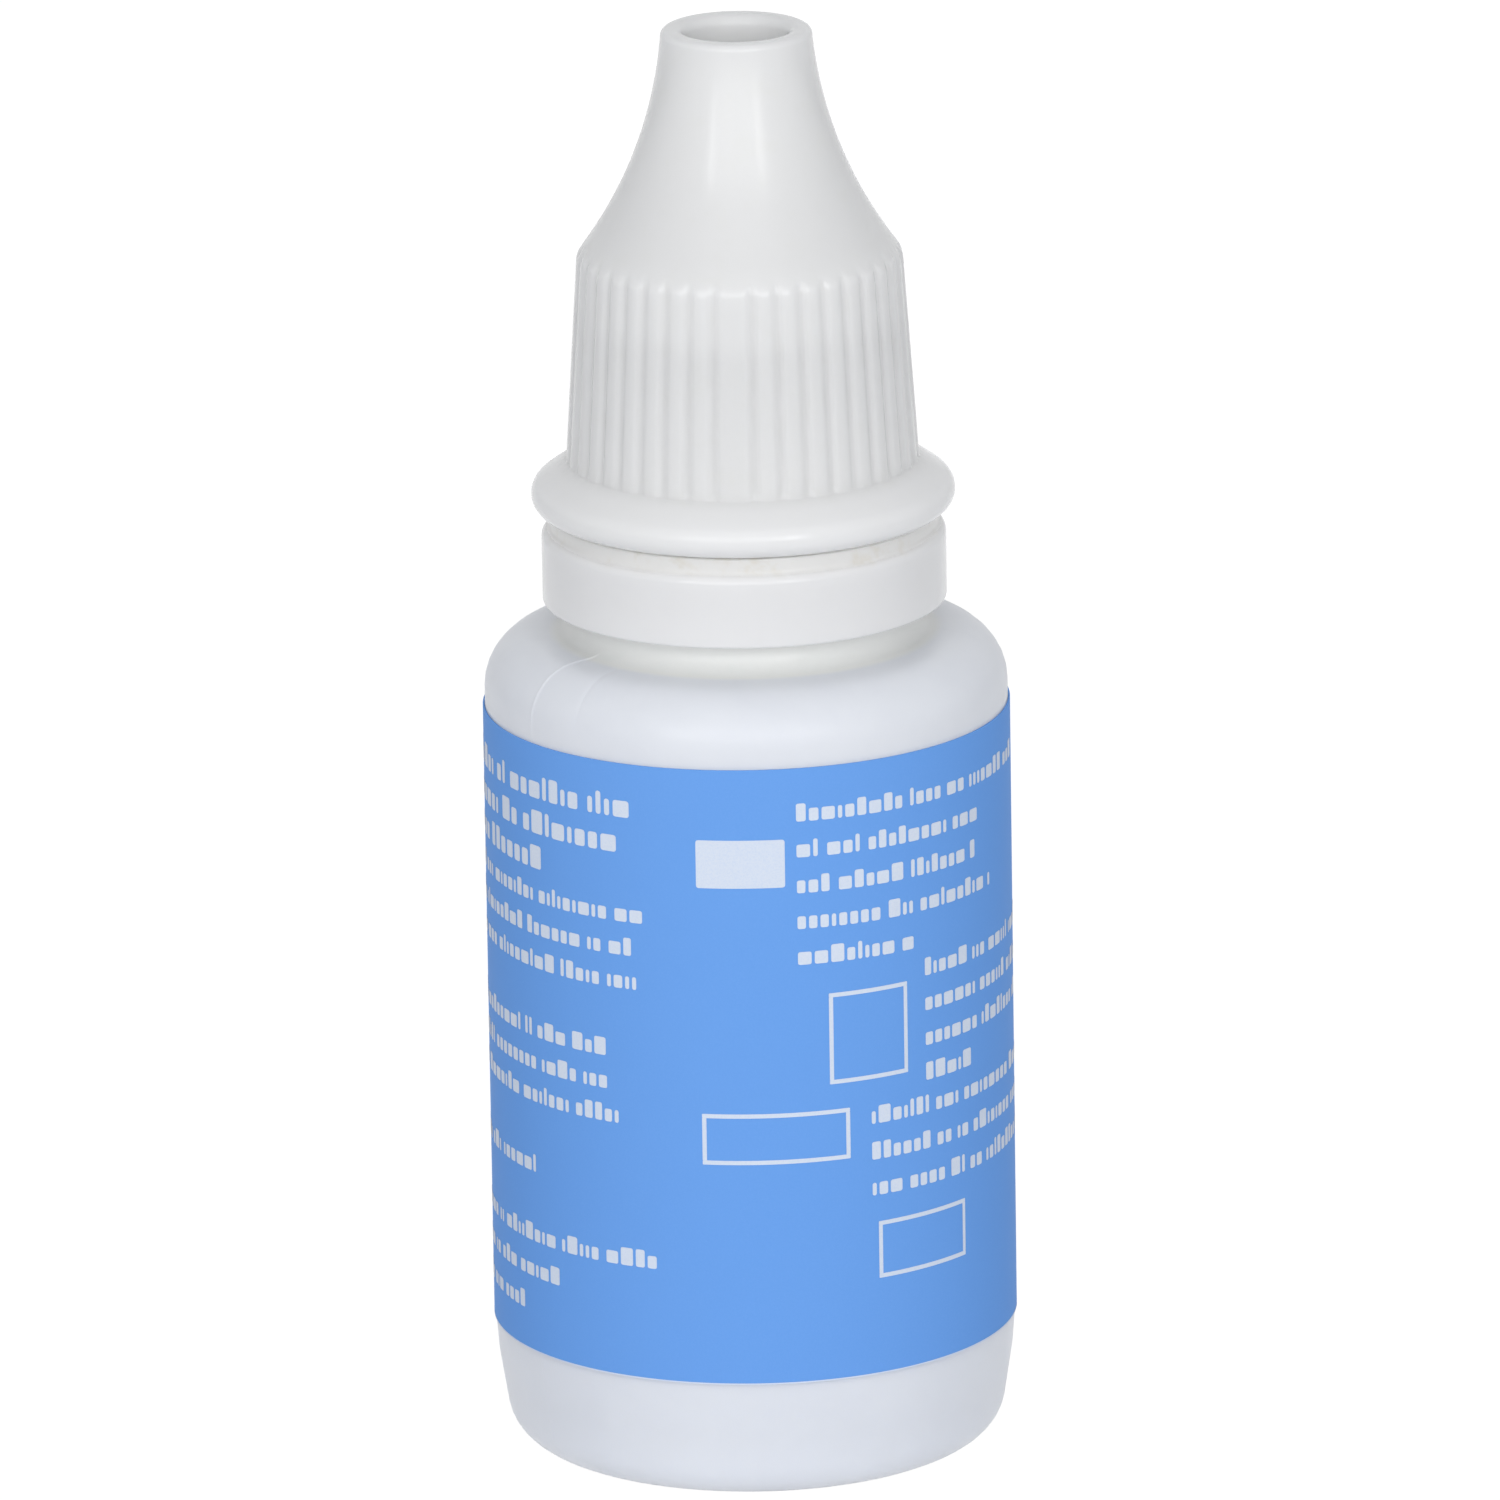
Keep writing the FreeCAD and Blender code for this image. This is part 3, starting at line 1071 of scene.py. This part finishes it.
@dataclass
class ScrewCap:
    """The cap: round-edged flange, ribbed skirt, flared cone and open tip, and bore, cavity and pin."""

    bore_radius: float = 6.95
    flange_bottom: float = 43.95
    flange_corner_radius: float = 11.386
    flange_rounding: float = 0.804
    skirt_radius: float = 8.03
    skirt_bottom: float = 46.3
    crown_radius: float = 7.4
    crown_height: float = 55.85
    crown_rounding: float = 0.9
    tip_radius: float = 3.46
    tip_land: float = 0.5
    top: float = 66.35
    mouth_radius: float = 2.35
    recess_radius: float = 2.2
    recess_floor: float = 61.0
    ledge_height: float = 52.9
    cavity_radius: float = 5.9
    ceiling_radius: float = 3.7
    ceiling_height: float = 59.8
    pin_radius: float = 1.39
    pin_end: float = 58.2
    pin_tip: float = 0.15
    pin_rounding: float = 0.08
    cone_sag: float = 0.75
    cone_step: float = 0.6
    tip_draw: float = 0.03
    tip_rounding: float = 0.34
    mouth_rounding: float = 0.5
    recess_rounding: float = 0.3
    entry_rounding: float = 0.15
    root_rounding: float = 0.12
    fine_rounding: float = 0.1
    ceiling_rounding: float = 0.5
    cavity_rounding: float = 0.6
    longest_run: float = 0.35
    groove_count: int = 40
    wide_rib_angle: float = 13.5
    wide_rib_place: float = 267.25
    groove_depth: float = 0.18
    groove_floor: float = 0.02
    groove_mouth: float = 0.45
    groove_blend: float = 0.2
    groove_bottom: float = 46.15
    groove_rise: float = 0.35
    groove_reach: float = 1.5
    inner_gap: float = 0.05
    groove_offsets: tuple[float, ...] = (0, 0.42, 0.75, 1.05, 1.35, 1.65, 2.0, 2.5, 3.3)
    wide_rib_offset: float = 2.2

    def groove_places(self) -> list[float]:
        """Return the angles of the grooves, one of whose gaps is wider than the rest."""
        pitch = (360 - self.wide_rib_angle) / (self.groove_count - 1)
        first = self.wide_rib_place + self.wide_rib_angle / 2
        return [(first + pitch * number) % 360 for number in range(self.groove_count)]

    def groove(self, angle: float, radius: float, height: float) -> tuple[float, float]:
        """Give the depth of the grip grooves, which run on through the crown until they leave the cone.

        Args:
            angle: The place round the axis, in degrees.
            radius: Its distance from the axis.
            height: Its height above the foot.

        Returns:
            How far the surface moves out and up there, in millimetres; the first is negative in a groove.
        """
        along = self.groove_bottom < height < self.crown_height + self.groove_reach
        if not along or radius < self.bore_radius + self.inner_gap:
            return 0.0, 0.0
        off = min(abs(turn_between(place, angle)) for place in self.groove_places())
        across = math.radians(off) * radius
        rise = smooth_step(self.groove_bottom, self.groove_bottom + self.groove_rise, height)
        depth = rise * self.groove_depth * (1 - smooth_step(self.groove_floor, self.groove_mouth, across))
        drawn_in = (self.skirt_radius - self.crown_radius) / (self.crown_height - self.skirt_bottom)
        room = self.skirt_radius - drawn_in * (height - self.skirt_bottom) - radius
        return soft_least(0, room - depth, self.groove_blend) - soft_least(0, room, self.groove_blend), 0.0

    def section(self) -> list[Vector]:
        """Return the cap's section."""
        outline = Outline()
        outline.to(self.bore_radius, self.flange_bottom, self.entry_rounding)
        outline.to(self.flange_corner_radius, self.flange_bottom, self.flange_rounding)
        outline.to(self.skirt_radius, self.skirt_bottom, self.root_rounding)
        outline.to(self.crown_radius, self.crown_height, self.crown_rounding)
        outline.bow(self.tip_radius, self.top - self.tip_land, self.cone_sag, self.cone_step)
        outline.to(self.tip_radius - self.tip_draw, self.top, self.tip_rounding)
        outline.to(self.mouth_radius, self.top, self.mouth_rounding)
        outline.to(self.recess_radius, self.recess_floor, self.recess_rounding).to(0, self.recess_floor)
        outline.to(0, self.pin_end).to(self.pin_tip, self.pin_end, self.pin_rounding)
        outline.to(self.pin_radius, self.ceiling_height, self.fine_rounding)
        outline.to(self.ceiling_radius, self.ceiling_height, self.ceiling_rounding)
        outline.to(self.cavity_radius, self.crown_height, self.cavity_rounding)
        outline.to(self.cavity_radius, self.ledge_height, self.fine_rounding)
        outline.to(self.bore_radius, self.ledge_height, self.fine_rounding)
        return outline.points(self.longest_run)

    def build(self) -> None:
        """Make the cap and its inner thread."""
        places = self.groove_places()
        pitch = (360 - self.wide_rib_angle) / (self.groove_count - 1)
        angles = sorted(
            {
                (place + side * offset) % 360
                for place in places
                for offset in self.groove_offsets
                for side in (-1, 1)
            }
            | {(place + pitch / 2) % 360 for place in places[:-1]}
            | {self.wide_rib_place + side * self.wide_rib_offset for side in (-1, 0, 1)}
        )
        plastic = MouldedPlastic(
            "white_polypropylene",
            (0.845, 0.845, 0.845),
            (0.83, 0.83, 0.825),
            0.2,
            grain_mm=0.1,
            grain_depth_mm=0.0012,
            ripple_mm=2.5,
            ripple_depth_mm=0.012,
            specular=0.35,
            softness=0.8,
            softness_mm=1.5,
            core_mm=8.35,
            core_colour=(0.815, 0.815, 0.81),
            core_blotch_colour=(0.805, 0.805, 0.79),
            core_dullness=0.03,
        ).material()
        shell = turned("cap_shell", self.section(), angles, self.groove)
        settle(shell, plastic, Body.CAP, Slot.CAP, "screw_cap")
        thread = ScrewThread("cap_thread", self.bore_radius, 6.42, 3.0, 44.9 + 1.5, 250, 1.6)
        settle(thread.build(), plastic, Body.CAP, Slot.CAP)


@dataclass
class DropperInsert:
    """The dropper pressed into the neck: ringed plug, flange, nozzle and drop cup."""

    plug_radius: float = 4.86
    ring_radius: float = 5.08
    ring_bottom: float = 50.5
    plug_bottom: float = 46.3
    bore_radius: float = 4.01
    rim: float = 51.8
    flange_radius: float = 6.15
    flange_top: float = 52.8
    nozzle_base: float = 3.3
    nozzle_tip: float = 1.75
    nozzle_top: float = 59.0
    cup_radius: float = 1.0
    cup_floor: float = 58.1
    orifice_radius: float = 0.3
    orifice_bottom: float = 57.3
    nozzle_bore: float = 1.1
    plug_rounding: float = 0.35
    ring_slope: float = 0.5
    ring_rounding: float = 0.15
    flange_rounding: float = 0.3
    nozzle_root: float = 0.6
    nozzle_rounding: float = 0.45
    cup_rounding: float = 0.12
    orifice_rounding: float = 0.08
    funnel_rounding: float = 0.2
    entry_rounding: float = 0.3
    fine_rounding: float = 0.1
    longest_run: float = 0.6

    def build(self) -> None:
        """Make the insert."""
        outline = Outline().to(self.bore_radius, self.plug_bottom, self.fine_rounding)
        outline.to(self.plug_radius, self.plug_bottom, self.plug_rounding)
        outline.to(self.plug_radius, self.ring_bottom - self.ring_slope, self.fine_rounding)
        outline.to(self.ring_radius, self.ring_bottom, self.ring_rounding).to(self.ring_radius, self.rim)
        outline.to(self.flange_radius, self.rim, self.fine_rounding)
        outline.to(self.flange_radius, self.flange_top, self.flange_rounding)
        outline.to(self.nozzle_base, self.flange_top, self.nozzle_root)
        outline.to(self.nozzle_tip, self.nozzle_top, self.nozzle_rounding)
        outline.to(self.cup_radius, self.nozzle_top, self.cup_rounding)
        outline.to(self.orifice_radius, self.cup_floor, self.orifice_rounding)
        outline.to(self.orifice_radius, self.orifice_bottom)
        outline.to(self.nozzle_bore, self.orifice_bottom, self.entry_rounding)
        outline.to(self.nozzle_bore, self.rim, self.funnel_rounding)
        outline.to(self.bore_radius, self.rim, self.entry_rounding)
        pale, dull = (0.80, 0.82, 0.84), (0.77, 0.79, 0.82)
        plastic = MouldedPlastic("natural_polyethylene", pale, dull, 0.34).material()
        insert = turned("dropper_body", outline.points(self.longest_run), ring_angles(128))
        settle(insert, plastic, Body.BOTTLE, Slot.INSERT, "dropper_insert")


@dataclass(frozen=True)
class SoftBox:
    """A soft studio lamp that faces the bottle."""

    name: str
    azimuth: float
    elevation: float
    distance: float
    width: float
    height: float
    power: float
    colour: Colour = (1.0, 1.0, 1.0)

    def build(self, target: Vector) -> None:
        """Hang the lamp and point it.

        Args:
            target: The place it faces.
        """
        data = bpy.data.lights.new(self.name, "AREA")
        data.shape = "RECTANGLE"
        data.size, data.size_y = self.width, self.height
        data.energy = self.power
        data.color = self.colour
        turn, tilt = math.radians(self.azimuth), math.radians(self.elevation)
        back = Vector((math.sin(turn) * math.cos(tilt), -math.cos(turn) * math.cos(tilt), math.sin(tilt)))
        lamp = bpy.data.objects.new(self.name, data)
        lamp.location = target + back * self.distance
        lamp.rotation_euler = back.to_track_quat("Z", "Y").to_euler()
        bpy.context.scene.collection.objects.link(lamp)


@dataclass
class Studio:
    """The pale floor, the surrounding light, the lamps and the camera of the photograph."""

    distance: float = 0.84
    elevation: float = 16.0
    roll: float = -0.88
    aim_side: float = 0.00013
    aim_height: float = 0.0324
    focal_pixels: float = 18396.0
    frame_pixels: float = 1500.0
    sensor: float = 36.0
    near_clip: float = 0.01
    far_clip: float = 50.0
    floor_gap: float = 0.00002
    floor_size: float = 1.5
    floor_cells: int = 24
    floor_cloud_mm: float = 40.0
    floor_glow: float = 1.1
    floor_share: float = 0.88
    fill: float = 0.42
    fill_colour: Colour = (0.94, 0.96, 1.0)
    lamps: tuple[SoftBox, ...] = (
        SoftBox("front_softbox", 3, 18, 1.0, 1.1, 0.5, 3.7),
        SoftBox("top_softbox", 0, 54, 1.0, 0.8, 0.8, 1.25),
        SoftBox("left_strip", -32, 20, 0.75, 0.04, 0.3, 0.42),
        SoftBox("right_strip", 27.5, 20, 0.75, 0.04, 0.3, 0.36),
    )

    def camera(self) -> None:
        """Place the camera at the photograph's view."""
        tilt, roll = math.radians(self.elevation), math.radians(self.roll)
        back = Vector((0, -math.cos(tilt), math.sin(tilt)))
        side = Vector((1, 0, 0))
        rise = back.cross(side)
        right = side * math.cos(roll) + rise * math.sin(roll)
        above = rise * math.cos(roll) - side * math.sin(roll)
        data = bpy.data.cameras.new("photo_camera")
        data.sensor_width = self.sensor
        data.lens = self.focal_pixels / self.frame_pixels * self.sensor
        data.clip_start, data.clip_end = self.near_clip, self.far_clip
        camera = bpy.data.objects.new("photo_camera", data)
        turn = Matrix((right, above, back)).transposed().to_4x4()
        place = Vector((self.aim_side, 0, self.aim_height)) + back * self.distance
        camera.matrix_world = Matrix.Translation(place) @ turn
        bpy.context.scene.collection.objects.link(camera)
        bpy.context.scene.camera = camera

    def seen(self, desk: NodeDesk) -> Value:
        """Return 1 for rays that show the surroundings as they are and 0 for rays that light the bottle."""
        path = desk.node("ShaderNodeLightPath")
        names = ("Is Camera Ray", "Is Glossy Ray", "Is Transmission Ray")
        camera, glossy, through = (Value(desk, path.outputs[name]) for name in names)
        return camera + glossy + through

    def floor(self) -> None:
        """Lay the pale floor, which keeps the bottle's shadow."""
        build = bmesh.new()
        cells = self.floor_cells
        bmesh.ops.create_grid(build, x_segments=cells, y_segments=cells, size=self.floor_size)
        mesh = bpy.data.meshes.new("studio_floor")
        build.to_mesh(mesh)
        build.free()
        floor = bpy.data.objects.new("studio_floor", mesh)
        floor.location.z = -self.floor_gap
        bpy.context.scene.collection.objects.link(floor)
        material, desk = new_material("pale_floor")
        cloud = desk.noise(self.floor_cloud_mm, 3.0)
        tone = desk.mix(cloud, (0.93, 0.93, 0.93), (0.91, 0.91, 0.915))
        paper = desk.node("ShaderNodeBsdfDiffuse", None, {"Color": tone, "Roughness": 0.4})
        glow = desk.node("ShaderNodeEmission", None, {"Color": (1.0, 1.0, 1.0), "Strength": self.floor_glow})
        share = self.seen(desk) * self.floor_share
        mixed = desk.node("ShaderNodeMixShader", None, {0: share, 1: paper.outputs[0], 2: glow.outputs[0]})
        desk.node("ShaderNodeOutputMaterial", None, {"Surface": mixed.outputs[0]})
        mesh.materials.append(material)

    def world(self) -> None:
        """Surround the bottle with soft light, and show white behind it."""
        world = bpy.data.worlds.new("studio_world")
        world.use_nodes = True
        bpy.context.scene.world = world
        desk = NodeDesk(world.node_tree)
        ambient = desk.node("ShaderNodeBackground", None, {"Color": self.fill_colour, "Strength": self.fill})
        white = desk.node("ShaderNodeBackground", None, {"Color": (1.0, 1.0, 1.0), "Strength": 1.0})
        inputs = {0: self.seen(desk), 1: ambient.outputs[0], 2: white.outputs[0]}
        mixed = desk.node("ShaderNodeMixShader", None, inputs)
        desk.node("ShaderNodeOutputWorld", None, {"Surface": mixed.outputs[0]})

    def build(self) -> None:
        """Set up the camera, the floor, the world and the lamps."""
        self.camera()
        self.floor()
        self.world()
        for lamp in self.lamps:
            lamp.build(Vector((0, 0, self.aim_height)))
        bpy.context.scene.view_settings.view_transform = "Standard"


def main() -> None:
    """Build every piece and the studio, and log each piece's face count."""
    logging.basicConfig(level=logging.INFO, format="%(message)s")
    Studio().build()
    for assembly in (BottleBody(), WrapLabel(), TamperBand(), DropperInsert(), ScrewCap()):
        log.info("building %s", type(assembly).__name__)
        assembly.build()


if __name__ == "__main__":
    main()
